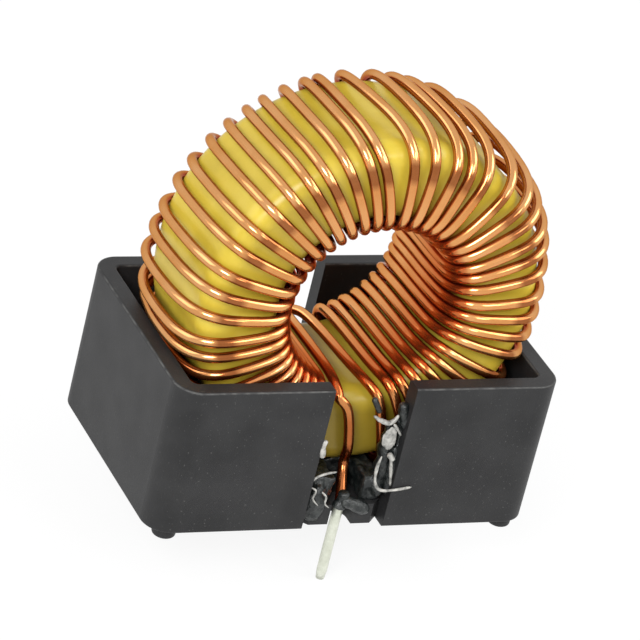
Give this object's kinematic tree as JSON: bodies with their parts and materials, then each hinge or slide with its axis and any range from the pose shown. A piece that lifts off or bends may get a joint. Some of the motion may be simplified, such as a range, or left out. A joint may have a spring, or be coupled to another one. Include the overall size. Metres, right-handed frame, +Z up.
{
  "type": "toroidal inductor",
  "caption": "Ring core wound with one layer of enamelled copper wire, standing on edge in a slotted plastic holder with its two tinned wire ends as board pins.",
  "frame": {"origin": "centre of the footprint on the circuit board, midway between the two pins, at the bottom of the feet", "axes": "+Z up from the board, X along the holder, Y along the coil's axis, with the front slot facing -Y"},
  "size_m": [0.031, 0.0194, 0.037],
  "materials": {
    "holder_plastic": "fine matt moulding",
    "core_coating": "glossy epoxy coating",
    "enamelled_wire": "gloss enamel over copper, ends tinned",
    "black_adhesive": "set black adhesive"
  },
  "bodies": {
    "root": {"holder": "holder_plastic", "core": "core_coating", "winding": "enamelled_wire", "adhesive": "black_adhesive"}
  },
  "joints": []
}
